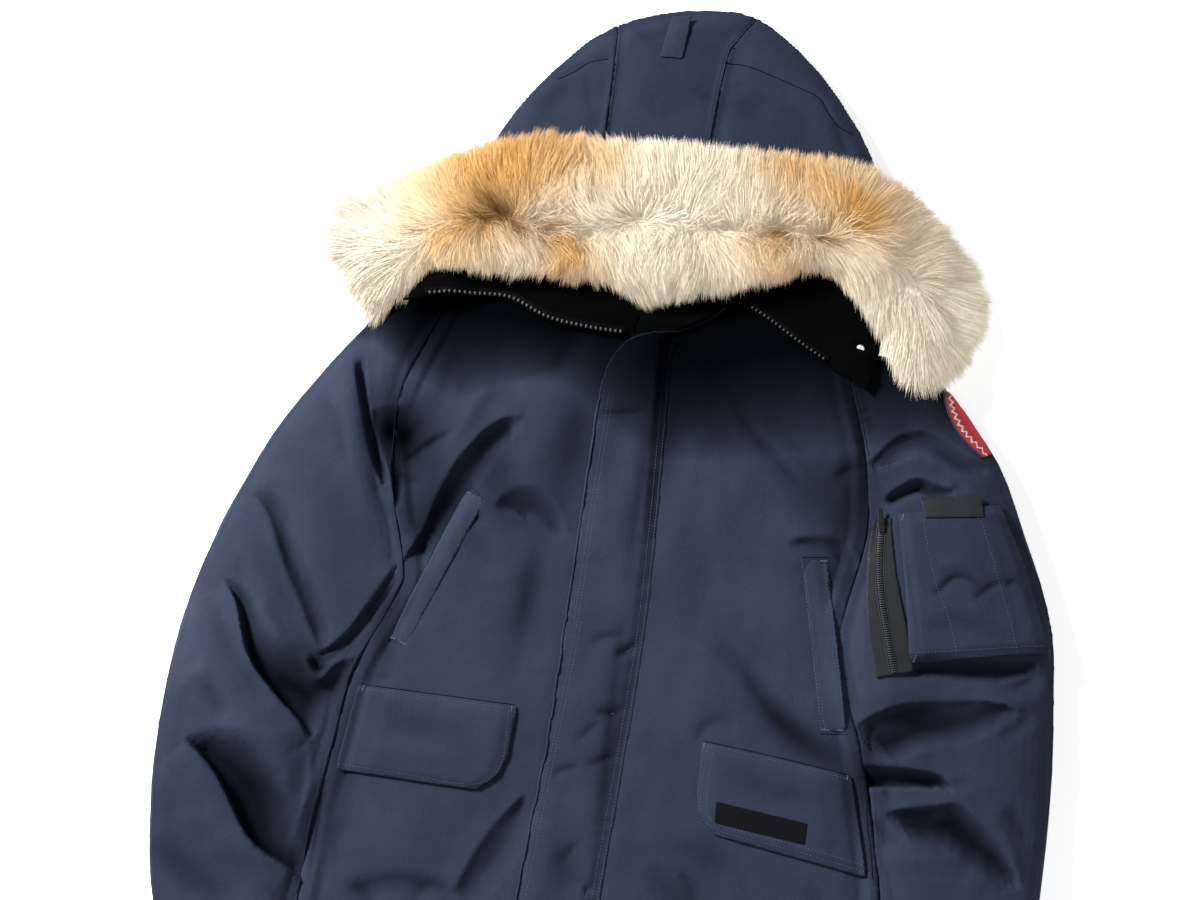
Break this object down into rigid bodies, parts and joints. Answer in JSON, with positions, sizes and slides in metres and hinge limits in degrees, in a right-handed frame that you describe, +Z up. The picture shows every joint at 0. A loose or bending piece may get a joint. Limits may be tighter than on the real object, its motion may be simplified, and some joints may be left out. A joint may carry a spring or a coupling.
{
  "type": "bomber jacket",
  "caption": "Padded hooded jacket laid flat, front up: fur-edged hood, storm flap over the front zip, flap and slant pockets, and a zipped sleeve pocket with a hinged zip pull",
  "frame": {"origin": "on the underside of the back panel, on the jacket's centre line at mid chest, on the surface that it lies on", "axes": "+X to the wearer's left, +Y from the hem to the hood, +Z up out of the front, away from the surface that the jacket lies on"},
  "size_m": [0.9663, 1.234, 0.0982],
  "materials": {
    "navy_shell": "navy cotton-blend canvas with a fine weave and a soft, low sheen",
    "black_fleece": "matt black brushed fleece",
    "fur": "long cream and tan fur with dark tips in places",
    "black_tape": "black woven tape",
    "zip_metal": "dark polished metal",
    "snap_metal": "bright polished metal",
    "woven_label": "plain black woven label",
    "patch_weave": "embroidered twill in red, white and navy"
  },
  "bodies": {
    "jacket": {"back": "navy_shell", "front_right": "navy_shell", "front_left": "navy_shell", "storm_flap": "navy_shell", "sleeve_right": "navy_shell", "sleeve_left": "navy_shell", "hood_side_right": "navy_shell", "hood_centre": "navy_shell", "hood_side_left": "navy_shell", "hood_tab": "navy_shell", "fur_ruff": "fur", "collar_right": "black_fleece", "collar_left": "black_fleece", "zip_right": "black_tape", "zip_left": "black_tape", "snap": "snap_metal", "flap_right": "navy_shell", "flap_left": "navy_shell", "welt_right": "navy_shell", "welt_left": "navy_shell", "sleeve_pocket": "navy_shell", "pen_strip": "black_tape", "pocket_zip": "black_tape", "pocket_slider": "zip_metal", "label": "woven_label", "arm_patch": "patch_weave"},
    "pull_tab": {"pull_tab": "zip_metal"}
  },
  "joints": [
    {"name": "pull_hinge", "type": "hinge", "parent": "jacket", "child": "pull_tab", "pos_m": [0.28967, 0.12791, 0.0552], "axis": [0.9781, 0.2079, 0], "range_deg": [0, 160]}
  ]
}
